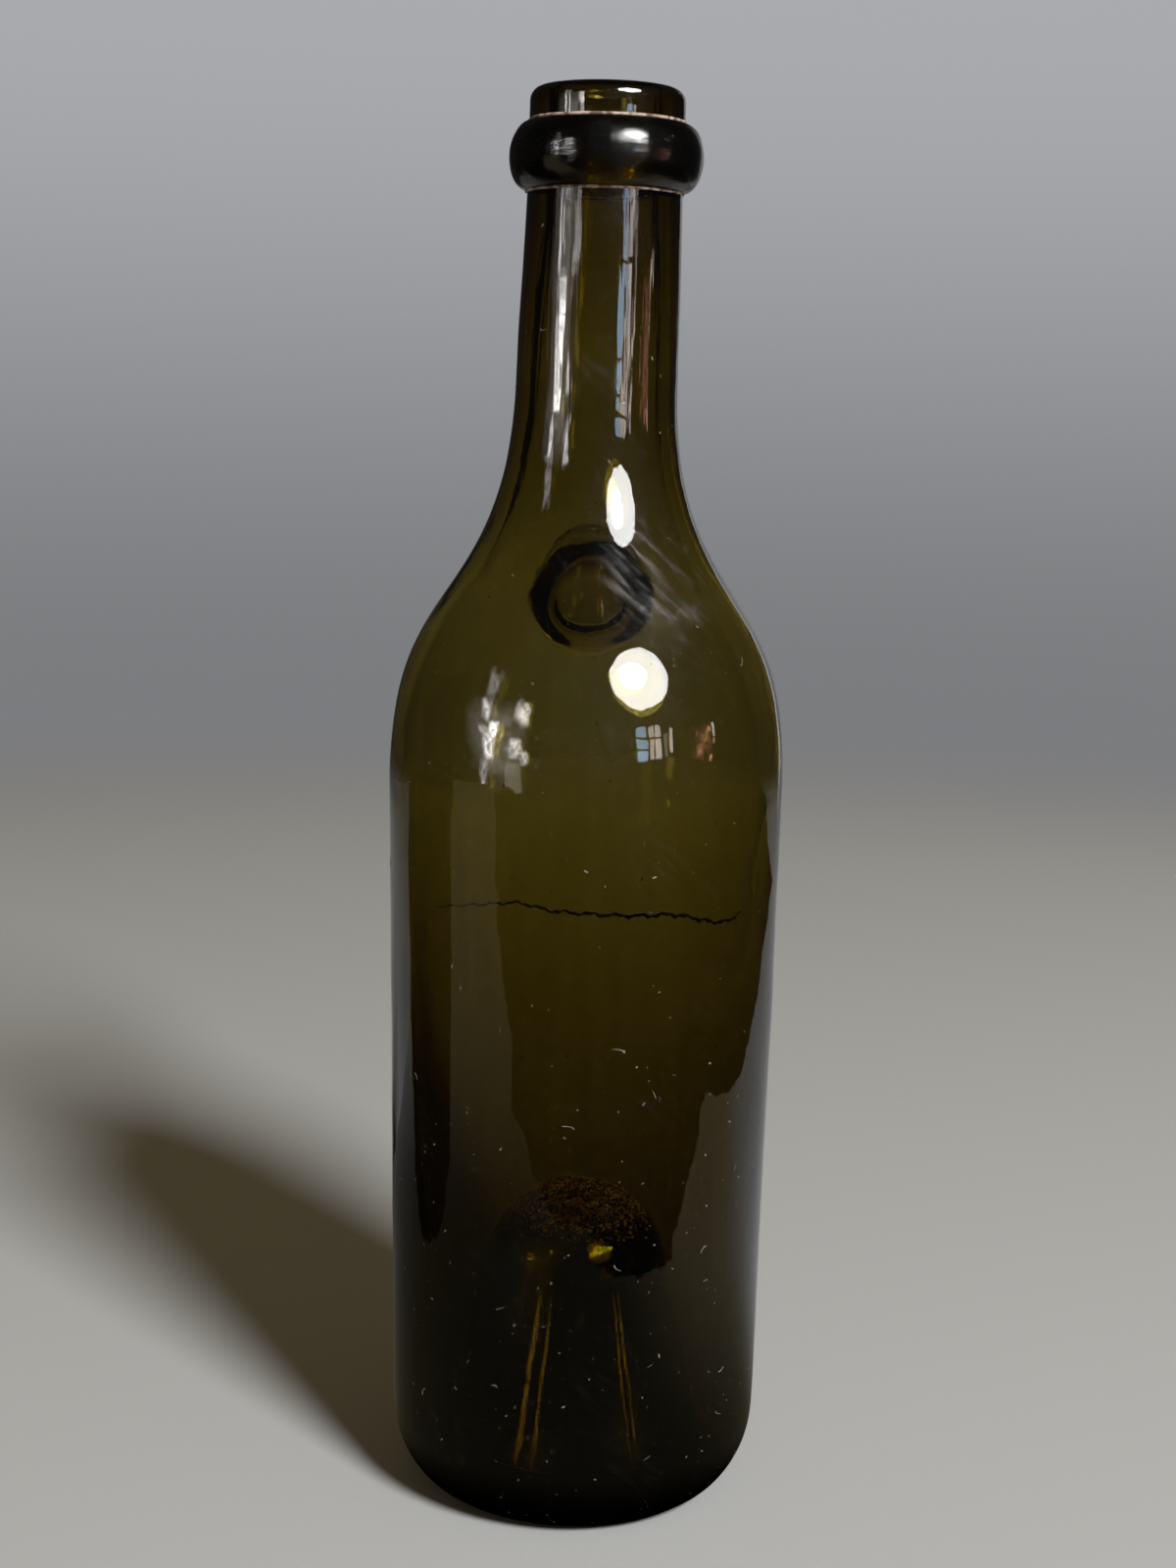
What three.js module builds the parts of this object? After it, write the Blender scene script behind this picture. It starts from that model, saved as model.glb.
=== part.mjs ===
// A mouth-blown liquor bottle: tapering body, deep punt, applied string rim and a round shoulder seal.
// Millimetres, +Z up. The origin is the middle of the resting ring, and the seal faces +Y.
import * as THREE from "three";
import { mergeVertices } from "three/addons/utils/BufferGeometryUtils.js";

// Body and neck, measured on the outside
const height = 300;
const footRadius = 39.8;
const bodyRadius = 42;
const swellHeight = 150;
const shoulderStart = 158;
const shoulderRise = 84.4;
const shoulderReach = 44.2;
const neckReach = 49.4;
const neckRadius = 16.9;
const lipRadius = 16.05;
const lipRound = 2.8;

// Glass thickness and the bore
const footWall = 8;
const shoulderWall = 2.8;
const neckWall = 4.2;
const mouthRadius = 10.4;
const mouthRound = 1.6;
const boreDepth = 24;

// Heel, resting ring and the thick glass behind them
const heelWidth = 14.5;
const heelHeight = 19;
const restingRingWidth = 3.3;
const heelGlass = 13;
const troughWidth = 3.2;
const troughDepth = 14;
const troughToe = 1.8;

// Punt, the hollow pushed up into the base
const puntHeight = 61.5;
const puntDomeRadius = 14.4;
const puntGlass = 5.5;
const puntFlare = 24;
const puntToe = 3.5;
const puntLean = 15;
const puntCone = 28;

// String rim, the ring of glass laid round the neck below the lip
const stringHeight = 13.8;
const stringBulge = 3.95;
const lipBand = 7;

// Shoulder seal, a blob of glass pressed with a blank round stamp
const stampRise = 34;
const sealWidth = 30;
const sealLength = 35;
const sealThickness = 3.4;
const sealEdge = 1.1;
const stampRadius = 8;
const stampDepth = 1.5;
const stampRim = 2;
const stampOffset = 4.6;

// Applied glass stands off the bottle by this much
const clearance = 0.3;

// How finely curves are cut into facets
const turnSteps = 56;
const stringSteps = 14;
const sealTurnSteps = 40;
const sealBackRings = 4;
const settleRounds = 6;

const neckStart = shoulderStart + shoulderRise;
const stringTop = height - lipBand;
const stringBottom = stringTop - stringHeight;
const domeCentre = puntHeight - puntDomeRadius;
const innerDomeRadius = puntDomeRadius + puntGlass;
const ringOuter = footRadius - heelWidth;
const ringInner = ringOuter - restingRingWidth;
const troughTop = heelGlass + troughDepth;
const troughRadius = footRadius - footWall - troughWidth;
const quarter = Math.PI / 2;

const at = (radius, level) => new THREE.Vector2(radius, level);
const bend = (...corners) => new THREE.CubicBezierCurve(...corners);

// Part of an ellipse, turning anticlockwise where the end angle is the larger
function oval(centre, across, up, from, to) {
  return new THREE.EllipseCurve(centre.x, centre.y, across, up, from, to, to < from);
}

// Points along curves that follow each other, without the repeated joints
function trace(...stretches) {
  const points = [];
  for (const [curve, steps] of stretches) {
    const next = curve.getPoints(steps);
    points.push(...(points.length ? next.slice(1) : next));
  }
  return points;
}

// The long side from foot to neck, drawn for the outside and again, further in, for the inside
function side(foot, bodyInset, neckInset, bodySteps, shoulderSteps) {
  const widest = bodyRadius - bodyInset;
  const narrow = neckRadius - neckInset;
  const body = new THREE.QuadraticBezierCurve(foot, at(widest, swellHeight), at(widest, shoulderStart));
  const shoulder = bend(
    at(widest, shoulderStart),
    at(widest, shoulderStart + shoulderReach),
    at(narrow, neckStart - neckReach),
    at(narrow, neckStart),
  );
  return trace([body, bodySteps], [shoulder, shoulderSteps]);
}

// Underside of the punt, from its top on the axis down to the resting ring
function puntOutline() {
  const dome = oval(at(0, domeCentre), puntDomeRadius, puntDomeRadius, quarter, 0);
  const flank = bend(
    at(puntDomeRadius, domeCentre),
    at(puntDomeRadius, domeCentre - puntFlare),
    at(ringInner - puntToe, 0),
    at(ringInner, 0),
  );
  return trace([dome, 6], [flank, 7]);
}

function heelOutline() {
  return trace([oval(at(ringOuter, heelHeight), heelWidth, heelHeight, -quarter, 0), 6]);
}

// Lip and bore, from the string rim over the mouth and down to the end of the narrow bore
function lipOutline() {
  const lip = oval(at(lipRadius - lipRound, height - lipRound), lipRound, lipRound, 0, quarter);
  const mouthMiddle = at(mouthRadius + mouthRound, height - mouthRound);
  const mouth = oval(mouthMiddle, mouthRound, mouthRound, quarter, 2 * quarter);
  return [...trace([lip, 4]), ...trace([mouth, 3]), at(mouthRadius, height - boreDepth)];
}

// Floor of the inside: down into the trough behind the heel and up over the punt to the axis
function floorOutline() {
  const trough = oval(at(troughRadius, troughTop), troughWidth, troughDepth, 0, -quarter);
  const lean = THREE.MathUtils.degToRad(puntLean);
  const dome = oval(at(0, domeCentre), innerDomeRadius, innerDomeRadius, lean, quarter);
  const domeEdge = dome.getPoint(0);
  const flank = bend(
    at(troughRadius, heelGlass),
    at(troughRadius - troughToe, heelGlass),
    at(domeEdge.x + puntCone * Math.sin(lean), domeEdge.y - puntCone * Math.cos(lean)),
    domeEdge,
  );
  return trace([trough, 5], [flank, 7], [dome, 6]);
}

// Leaves out points that lie on the one before
function tidy(points) {
  return points.filter((point, index) => index === 0 || point.distanceTo(points[index - 1]) > 1e-6);
}

const outside = [...side(at(footRadius, heelHeight), 0, 0, 6, 15), at(lipRadius, stringBottom)];
const inside = side(at(footRadius - footWall, troughTop), shoulderWall, neckWall, 6, 11);

// Turns an outline round the bottle's axis and stands it up along +Z
function turned(outline) {
  const geometry = new THREE.LatheGeometry(outline, turnSteps);
  geometry.rotateX(quarter);
  return geometry;
}

function bottleBody() {
  const outline = tidy([
    ...puntOutline(),
    ...heelOutline(),
    ...outside,
    ...lipOutline(),
    ...inside.toReversed(),
    ...floorOutline(),
  ]);
  outline[0].x = 0;
  outline.at(-1).x = 0;
  return turned(outline);
}

function stringRim() {
  const bore = lipRadius + clearance;
  const middle = at(bore, (stringTop + stringBottom) / 2);
  const bead = oval(middle, stringBulge - clearance, stringHeight / 2, -quarter, quarter);
  const outline = trace([bead, stringSteps]);
  outline.push(outline[0].clone());
  return turned(outline);
}

// Outside radius of the bottle at a level on its side
function radiusAt(level) {
  const above = outside.findIndex((point) => point.y >= level);
  const low = outside[above - 1];
  const high = outside[above];
  const share = (level - low.y) / (high.y - low.y);
  return low.x + share * (high.x - low.x);
}

// A plane that touches the shoulder where the stamp was pressed, seen from outside the bottle
const stampLevel = shoulderStart + stampRise;
const stampMiddle = new THREE.Vector3(0, radiusAt(stampLevel), stampLevel);
const stampTop = stampLevel + stampRadius;
const stampFoot = stampLevel - stampRadius;
const upSlope = new THREE.Vector3(0, radiusAt(stampTop) - radiusAt(stampFoot), 2 * stampRadius).normalize();
const across = new THREE.Vector3(-1, 0, 0);
const outward = new THREE.Vector3().crossVectors(across, upSlope);

// The point over (right, up) on that plane, lifted off the plane along its normal
function overPlane(right, up, lift) {
  return stampMiddle.clone()
    .addScaledVector(across, right)
    .addScaledVector(upSlope, up)
    .addScaledVector(outward, lift);
}

// How far the glass of the shoulder lies behind the plane there, found by stepping towards it
function glassBehind(right, up) {
  let lift = 0;
  for (let round = 0; round < settleRounds; round += 1) {
    const point = overPlane(right, up, lift);
    lift -= (Math.hypot(point.x, point.y) - radiusAt(point.z)) * outward.y;
  }
  return lift;
}

// Distance from the stamp's middle to the edge of the oval blob, in a direction in the plane
function blobReach(angle) {
  const right = Math.cos(angle) / (sealWidth / 2);
  const up = Math.sin(angle) / (sealLength / 2);
  const offset = stampOffset / (sealLength / 2);
  const spread = right * right + up * up;
  return (up * offset + Math.sqrt(up * up * offset * offset + spread * (1 - offset * offset))) / spread;
}

// Rings of the seal's front, by their share of the way from the stamp's rim to the blob's edge
const fallSteps = [0, 0.3, 0.6, 0.85, 1];

function sealFront(angle) {
  const crest = stampRadius + stampRim;
  const reach = blobReach(angle);
  const floor = sealThickness - stampDepth;
  const flat = [stampRadius * 0.5, stampRadius].map((distance) => ({ distance, lift: () => floor }));
  const fall = fallSteps.map((share) => {
    const left = Math.sqrt(1 - share * share);
    const lift = (behind) => left * sealThickness + (1 - left) * (behind + sealEdge);
    return { distance: crest + (reach - crest) * share, lift };
  });
  return [...flat, ...fall];
}

function shoulderSeal() {
  const vertices = [];
  const rings = [];
  const place = (distance, angle, liftOver) => {
    const right = distance * Math.cos(angle);
    const up = distance * Math.sin(angle);
    return overPlane(right, up, liftOver(glassBehind(right, up)));
  };
  const addRing = (points) => {
    rings.push(vertices.length / 3);
    points.forEach((point) => vertices.push(point.x, point.y, point.z));
  };
  const angles = Array.from({ length: sealTurnSteps }, (_, index) => (index / sealTurnSteps) * 4 * quarter);
  const fronts = angles.map(sealFront);
  const backLift = (behind) => behind + clearance;

  addRing([place(0, 0, () => sealThickness - stampDepth)]);
  fronts[0].forEach((_, ring) => {
    addRing(angles.map((angle, index) => place(fronts[index][ring].distance, angle, fronts[index][ring].lift)));
  });
  for (let ring = sealBackRings; ring > 0; ring -= 1) {
    addRing(angles.map((angle) => place((blobReach(angle) * ring) / sealBackRings, angle, backLift)));
  }
  addRing([place(0, 0, backLift)]);

  const faces = [];
  for (let ring = 1; ring < rings.length; ring += 1) {
    const firstTip = ring === 1;
    const lastTip = ring === rings.length - 1;
    for (let index = 0; index < sealTurnSteps; index += 1) {
      const next = (index + 1) % sealTurnSteps;
      const inner = firstTip ? [rings[0], rings[0]] : [rings[ring - 1] + index, rings[ring - 1] + next];
      const outer = lastTip ? [rings[ring], rings[ring]] : [rings[ring] + index, rings[ring] + next];
      if (!lastTip) faces.push(inner[0], outer[0], outer[1]);
      if (!firstTip) faces.push(inner[0], outer[1], inner[1]);
    }
  }
  const geometry = new THREE.BufferGeometry();
  geometry.setAttribute("position", new THREE.Float32BufferAttribute(vertices, 3));
  geometry.setIndex(faces);
  return mergeVertices(geometry);
}

const bottleGlass = new THREE.MeshStandardMaterial({ color: 0x3a3a16, roughness: 0.12, metalness: 0 });
const stringGlass = new THREE.MeshStandardMaterial({ color: 0x2c2e12, roughness: 0.15, metalness: 0 });
const sealGlass = new THREE.MeshStandardMaterial({ color: 0x45441c, roughness: 0.18, metalness: 0 });

function part(name, geometry, material) {
  const mesh = new THREE.Mesh(geometry, material);
  mesh.name = name;
  return mesh;
}

const group = new THREE.Group();
group.add(part("bottle_body", bottleBody(), bottleGlass));
group.add(part("string_rim", stringRim(), stringGlass));
group.add(part("shoulder_seal", shoulderSeal(), sealGlass));

export default group;
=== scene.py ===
import math

import bmesh
import bpy
from mathutils import Matrix, Vector
from mathutils.bvhtree import BVHTree


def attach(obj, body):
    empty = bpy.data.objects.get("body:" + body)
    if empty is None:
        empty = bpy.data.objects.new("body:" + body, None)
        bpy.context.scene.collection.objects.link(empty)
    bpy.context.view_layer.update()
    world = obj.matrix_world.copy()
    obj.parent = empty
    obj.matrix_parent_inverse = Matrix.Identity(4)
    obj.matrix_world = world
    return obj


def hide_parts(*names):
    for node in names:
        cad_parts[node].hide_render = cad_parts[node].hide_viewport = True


# Mouth-blown liquor bottle: body with punt, string rim, blank shoulder seal. Metres, +Z up.
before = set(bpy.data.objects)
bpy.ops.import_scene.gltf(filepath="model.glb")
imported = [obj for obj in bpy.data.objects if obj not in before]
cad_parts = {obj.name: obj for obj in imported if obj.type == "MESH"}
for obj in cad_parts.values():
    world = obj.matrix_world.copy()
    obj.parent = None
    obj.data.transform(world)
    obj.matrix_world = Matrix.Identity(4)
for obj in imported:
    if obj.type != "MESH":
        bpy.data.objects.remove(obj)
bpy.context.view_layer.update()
quarter = math.pi / 2


# Camera: height, distance and tilt found by fitting the bottle's outline to the photograph
cameraSet = dict(place=(0.00017, -0.50068, 0.23472), pitch=8.977, roll=1.391, lens=54.28, sensor=36)


def addPiece(name, data):
    piece = bpy.data.objects.new(name, data)
    bpy.context.collection.objects.link(piece)
    return piece


def makeCamera(values):
    pitch = math.radians(values["pitch"])
    roll = math.radians(values["roll"])
    forward = Vector((0, math.cos(pitch), -math.sin(pitch)))
    level = Vector((1, 0, 0))
    upright = level.cross(forward)
    right = math.cos(roll) * level + math.sin(roll) * upright
    up = right.cross(forward)
    data = bpy.data.cameras.new("camera")
    data.lens = values["lens"]
    data.sensor_width = values["sensor"]
    camera = addPiece("camera", data)
    turn = Matrix((right, up, -forward)).transposed().to_4x4()
    camera.matrix_world = Matrix.Translation(values["place"]) @ turn
    bpy.context.scene.camera = camera


makeCamera(cameraSet)
print("camera placed")


# Outlines, as (radius, height) points
samePlace = 1e-7


def ovalPoints(centre, across, up, fromTurn, toTurn, steps):
    points = []
    for step in range(steps + 1):
        turn = fromTurn + (toTurn - fromTurn) * step / steps
        points.append((centre[0] + across * math.cos(turn), centre[1] + up * math.sin(turn)))
    return points


def bendPoints(corners, steps):
    order = len(corners) - 1
    points = []
    for step in range(steps + 1):
        t = step / steps
        weights = [math.comb(order, k) * (1 - t) ** (order - k) * t ** k for k in range(order + 1)]
        points.append(tuple(sum(w * corner[axis] for w, corner in zip(weights, corners)) for axis in (0, 1)))
    return points


def linePoints(start, end, steps):
    return bendPoints([start, end], steps)


def joined(*stretches):
    points = list(stretches[0])
    for stretch in stretches[1:]:
        points.extend(stretch[1:] if math.dist(stretch[0], points[-1]) < samePlace else stretch)
    return points


# The body repeats the CAD part's sizes, so that the fine mesh fills the same space
bottle = dict(
    height=0.3, footRadius=0.0398, bodyRadius=0.042, swellHeight=0.15,
    shoulderStart=0.158, shoulderRise=0.0844, shoulderReach=0.0442, neckReach=0.0494,
    neckRadius=0.0169, lipRadius=0.01605, lipRound=0.0028,
    footWall=0.008, shoulderWall=0.0028, neckWall=0.0042,
    mouthRadius=0.0104, mouthRound=0.0016, boreDepth=0.024,
    heelWidth=0.0145, heelHeight=0.019, restingRing=0.0033, heelGlass=0.013,
    troughWidth=0.0032, troughDepth=0.014, troughToe=0.0018,
    puntHeight=0.0615, puntDome=0.0144, puntGlass=0.0055, puntFlare=0.024, puntToe=0.0035,
    puntLean=15, puntCone=0.028,
    lipBand=0.007, stringHeight=0.0138, stringBulge=0.00395,
    segments=240, wave=0.00016, waveSize=0.03, fineWave=0.00003, seed=3.7,
)
fineness = dict(
    dome=16, flank=22, ring=2, heel=20, side=50, neck=14, band=8, lip=8,
    bore=6, innerNeck=12, innerSide=44, trough=16, innerFlank=26, innerDome=20,
)
neckStart = bottle["shoulderStart"] + bottle["shoulderRise"]
stringTop = bottle["height"] - bottle["lipBand"]
stringBottom = stringTop - bottle["stringHeight"]
domeCentre = bottle["puntHeight"] - bottle["puntDome"]
ringOuter = bottle["footRadius"] - bottle["heelWidth"]


def sidePoints(foot, bodyInset, neckInset, steps):
    b = bottle
    widest = b["bodyRadius"] - bodyInset
    narrow = b["neckRadius"] - neckInset
    body = bendPoints([foot, (widest, b["swellHeight"]), (widest, b["shoulderStart"])], steps)
    shoulder = bendPoints([
        (widest, b["shoulderStart"]),
        (widest, b["shoulderStart"] + b["shoulderReach"]),
        (narrow, neckStart - b["neckReach"]),
        (narrow, neckStart),
    ], steps)
    return joined(body, shoulder)


def undersidePoints():
    b = bottle
    ringInner = ringOuter - b["restingRing"]
    dome = ovalPoints((0, domeCentre), b["puntDome"], b["puntDome"], quarter, 0, fineness["dome"])
    flank = bendPoints([
        (b["puntDome"], domeCentre),
        (b["puntDome"], domeCentre - b["puntFlare"]),
        (ringInner - b["puntToe"], 0),
        (ringInner, 0),
    ], fineness["flank"])
    return joined(dome, flank, linePoints((ringInner, 0), (ringOuter, 0), fineness["ring"]))


def outerPoints():
    b = bottle
    heelMiddle = (ringOuter, b["heelHeight"])
    heel = ovalPoints(heelMiddle, b["heelWidth"], b["heelHeight"], -quarter, 0, fineness["heel"])
    side = sidePoints((b["footRadius"], b["heelHeight"]), 0, 0, fineness["side"])
    neck = linePoints((b["neckRadius"], neckStart), (b["lipRadius"], stringBottom), fineness["neck"])
    lipMiddle = (b["lipRadius"] - b["lipRound"], b["height"] - b["lipRound"])
    band = linePoints((b["lipRadius"], stringBottom), (b["lipRadius"], lipMiddle[1]), fineness["band"])
    lip = ovalPoints(lipMiddle, b["lipRound"], b["lipRound"], 0, quarter, fineness["lip"])
    return joined(heel, side, neck, band, lip)


def insidePoints():
    b = bottle
    mouthMiddle = (b["mouthRadius"] + b["mouthRound"], b["height"] - b["mouthRound"])
    mouth = ovalPoints(mouthMiddle, b["mouthRound"], b["mouthRound"], quarter, 2 * quarter, fineness["lip"])
    boreEnd = (b["mouthRadius"], b["height"] - b["boreDepth"])
    bore = linePoints(mouth[-1], boreEnd, fineness["bore"])
    troughTop = b["heelGlass"] + b["troughDepth"]
    troughRadius = b["footRadius"] - b["footWall"] - b["troughWidth"]
    innerDome = b["puntDome"] + b["puntGlass"]
    foot = (b["footRadius"] - b["footWall"], troughTop)
    side = sidePoints(foot, b["shoulderWall"], b["neckWall"], fineness["innerSide"])[::-1]
    neck = linePoints(boreEnd, side[0], fineness["innerNeck"])
    troughMiddle = (troughRadius, troughTop)
    trough = ovalPoints(troughMiddle, b["troughWidth"], b["troughDepth"], 0, -quarter, fineness["trough"])
    lean = math.radians(b["puntLean"])
    dome = ovalPoints((0, domeCentre), innerDome, innerDome, lean, quarter, fineness["innerDome"])
    coneEnd = (dome[0][0] + b["puntCone"] * math.sin(lean), dome[0][1] - b["puntCone"] * math.cos(lean))
    flank = bendPoints([
        (troughRadius, b["heelGlass"]), (troughRadius - b["troughToe"], b["heelGlass"]), coneEnd, dome[0],
    ], fineness["innerFlank"])
    return joined(mouth, bore, neck, side, trough, flank, dome)


# Nodes: a value or a link goes into each named input
def feed(tree, socket, value):
    if isinstance(value, bpy.types.NodeSocket):
        tree.links.new(value, socket)
    else:
        socket.default_value = value


def feedInputs(tree, inputs, values):
    for label, value in values.items():
        feed(tree, inputs[label], value)


def feedInOrder(tree, inputs, values):
    for socket, value in zip(inputs, values):
        feed(tree, socket, value)


def addNode(tree, kind, values=None, **settings):
    node = tree.nodes.new(kind)
    for name, value in settings.items():
        setattr(node, name, value)
    feedInputs(tree, node.inputs, values or {})
    return node


def maths(tree, operation, *values, kind="ShaderNodeMath", result=0):
    node = addNode(tree, kind, operation=operation)
    feedInOrder(tree, node.inputs, values)
    return node.outputs[result]


def times(tree, first, second):
    return maths(tree, "MULTIPLY", first, second)


def timesPlus(tree, first, second, more):
    return maths(tree, "MULTIPLY_ADD", first, second, more)


def vectorMaths(tree, operation, first, second, result="Vector"):
    return maths(tree, operation, first, second, kind="ShaderNodeVectorMath", result=result)


def distanceFrom(tree, place, point=(0, 0, 0)):
    return vectorMaths(tree, "DISTANCE", place, point, result="Value")


def separate(tree, vector):
    return addNode(tree, "ShaderNodeSeparateXYZ", {"Vector": vector}).outputs


def combine(tree, **parts):
    return addNode(tree, "ShaderNodeCombineXYZ", parts).outputs[0]


def smoothMask(tree, value, start, end):
    edges = {"Value": value, "From Min": start, "From Max": end}
    return addNode(tree, "ShaderNodeMapRange", edges, interpolation_type="SMOOTHSTEP").outputs[0]


def mixColour(tree, share, low, high):
    node = addNode(tree, "ShaderNodeMix", data_type="RGBA")
    colours = [(*colour, 1) if isinstance(colour, tuple) else colour for colour in (low, high)]
    feedInOrder(tree, (node.inputs[0], *node.inputs[6:8]), (share, *colours))
    return node.outputs[2]


def newGeometryTree(name, sockets):
    tree = bpy.data.node_groups.new(name, "GeometryNodeTree")
    for label, kind in sockets.items():
        tree.interface.new_socket(label, in_out="INPUT", socket_type="NodeSocket" + kind)
    tree.interface.new_socket("Geometry", in_out="OUTPUT", socket_type="NodeSocketGeometry")
    return tree, addNode(tree, "NodeGroupInput").outputs


def finishTree(tree, shape, material):
    real = addNode(tree, "GeometryNodeRealizeInstances", {"Geometry": shape})
    painted = addNode(tree, "GeometryNodeSetMaterial", {"Geometry": real.outputs[0], "Material": material})
    addNode(tree, "NodeGroupOutput", {"Geometry": painted.outputs[0]})


# Geometry Nodes lathe: turns an outline round the axis with the slow waves of hand-blown glass
blown = dict(
    detail=1.5, strength=4.0, finer=4.0, insideSeed=5.0, poleFade=0.012, merge=1e-6,
    leans={"Neck Lean": (0.215, 0.3), "Shoulder Lean": (0.06, 0.19)},
)


def buildLathe(values):
    tree, given = newGeometryTree("blownLathe", {
        "Geometry": "Geometry", "Segments": "Int", "Rows": "Int", "Inside From": "Float", "Wave": "Float",
        "Wave Size": "Float", "Fine Wave": "Float", "Seed": "Float", "Neck Lean": "Float",
        "Shoulder Lean": "Float", "Material": "Material",
    })
    columns = maths(tree, "ADD", given["Segments"], 1)
    grid = addNode(tree, "GeometryNodeMeshGrid", {
        "Size X": 1, "Size Y": 1, "Vertices X": columns, "Vertices Y": given["Rows"],
    })
    position = addNode(tree, "GeometryNodeInputPosition").outputs[0]
    where = separate(tree, position)
    along = maths(tree, "ADD", where["Y"], 0.5)
    turn = times(tree, maths(tree, "ADD", where["X"], 0.5), 2 * math.pi)
    lastRow = maths(tree, "SUBTRACT", given["Rows"], 1)
    row = maths(tree, "ROUND", times(tree, along, lastRow))

    sample = {"Geometry": given["Geometry"], "Value": position, "Index": row}
    outline = addNode(tree, "GeometryNodeSampleIndex", sample, data_type="FLOAT_VECTOR", domain="POINT")
    point = separate(tree, outline.outputs["Value"])
    radius, level = point["X"], point["Z"]
    cosine, sine = maths(tree, "COSINE", turn), maths(tree, "SINE", turn)

    # Waves: one noise for each skin, fading out on the axis so that the poles stay closed
    x, y = times(tree, radius, cosine), times(tree, radius, sine)
    plain = combine(tree, X=x, Y=y, Z=level)
    inside = maths(tree, "GREATER_THAN", row, maths(tree, "SUBTRACT", given["Inside From"], 0.5))
    skin = timesPlus(tree, inside, values["insideSeed"], given["Seed"])

    def noise(size, amount):
        node = addNode(tree, "ShaderNodeTexNoise", {
            "Vector": plain, "W": skin, "Scale": maths(tree, "DIVIDE", 1.0, size), "Detail": values["detail"],
        }, noise_dimensions="4D")
        height = times(tree, amount, values["strength"])
        return times(tree, maths(tree, "SUBTRACT", node.outputs[0], 0.5), height)

    slow = noise(given["Wave Size"], given["Wave"])
    fine = noise(maths(tree, "DIVIDE", given["Wave Size"], values["finer"]), given["Fine Wave"])
    fade = maths(tree, "MINIMUM", maths(tree, "DIVIDE", radius, values["poleFade"]), 1.0)
    share = times(tree, fade, point["Y"])
    waved = timesPlus(tree, maths(tree, "ADD", slow, fine), share, radius)

    # The axis leans a little: one way over the shoulder, the other way up the neck
    leans = [
        times(tree, smoothMask(tree, level, start, end), given[label])
        for label, (start, end) in values["leans"].items()
    ]
    x = timesPlus(tree, waved, cosine, maths(tree, "ADD", *leans))
    final = combine(tree, X=x, Y=times(tree, waved, sine), Z=level)

    place = addNode(tree, "GeometryNodeSetPosition", {"Geometry": grid.outputs["Mesh"], "Position": final})
    close = addNode(tree, "GeometryNodeMergeByDistance", {
        "Geometry": place.outputs[0], "Distance": values["merge"],
    })
    smooth = addNode(tree, "GeometryNodeSetShadeSmooth", {"Geometry": close.outputs[0]})
    finishTree(tree, smooth.outputs[0], given["Material"])
    return tree


def runTree(tree, name, source, values):
    holder = addPiece(name + "_source", source)
    modifier = holder.modifiers.new("make", "NODES")
    modifier.node_group = tree
    sockets = {item.name: item.identifier for item in tree.interface.items_tree if item.in_out == "INPUT"}
    for label, value in values.items():
        modifier[sockets[label]] = value
    depsgraph = bpy.context.evaluated_depsgraph_get()
    mesh = bpy.data.meshes.new_from_object(holder.evaluated_get(depsgraph), depsgraph=depsgraph)
    mesh.name = name
    bpy.data.objects.remove(holder)
    return addPiece(name, mesh)


latheTree = buildLathe(blown)
leans = {"Neck Lean": 0.00125, "Shoulder Lean": -0.00035}


def turnPiece(name, outline, waveShares, insideFrom, material, **changes):
    values = bottle | changes
    source = bpy.data.meshes.new(name + "_outline")
    corners = [(radius, share, level) for (radius, level), share in zip(outline, waveShares)]
    source.from_pydata(corners, [], [])
    return runTree(latheTree, name, source, {
        "Segments": values["segments"], "Rows": len(outline), "Inside From": float(insideFrom),
        "Wave": values["wave"], "Wave Size": values["waveSize"], "Fine Wave": values["fineWave"],
        "Seed": values["seed"], "Material": material, **leans,
    })


# Surface effects that the pieces share
def objectPlace(tree):
    return addNode(tree, "ShaderNodeTexCoord").outputs["Object"]


def noiseField(tree, place, scale, stretch=(1, 1, 1), detail=2.0):
    scaled = vectorMaths(tree, "MULTIPLY", place, stretch)
    noise = {"Vector": scaled, "Scale": scale, "Detail": detail}
    return addNode(tree, "ShaderNodeTexNoise", noise).outputs[0]


def noiseMask(tree, place, edges, **noise):
    return smoothMask(tree, noiseField(tree, place, **noise), *edges)


def bumped(tree, height, distance):
    return addNode(tree, "ShaderNodeBump", {"Height": height, "Distance": distance}).outputs[0]


def newGroup(name, inputs, outputs):
    tree = bpy.data.node_groups.new(name, "ShaderNodeTree")
    for direction, labels in (("INPUT", inputs), ("OUTPUT", outputs)):
        for label in labels:
            tree.interface.new_socket(label, in_out=direction, socket_type="NodeSocketFloat")
    return tree, addNode(tree, "NodeGroupInput").outputs, objectPlace(tree)


def newPaint(name):
    material = bpy.data.materials.new(name)
    material.use_nodes = True
    tree = material.node_tree
    return material, tree, tree.nodes["Principled BSDF"].inputs


# Ripples, heights in metres: lines drawn out up the neck, broad ones on the body, marks round the ring
rippleNoise = {
    "Drawn Lines": dict(scale=620, stretch=(1, 1, 0.035)),
    "Broad Lines": dict(scale=150, stretch=(1, 1, 0.12)),
    "Round Marks": dict(scale=1100, stretch=(0.2, 0.2, 1), detail=3.0),
    "Peel": dict(scale=330),
}
drawnNeck = dict(edges=(0.2, 0.25), more=0.92, least=0.08)


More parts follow.
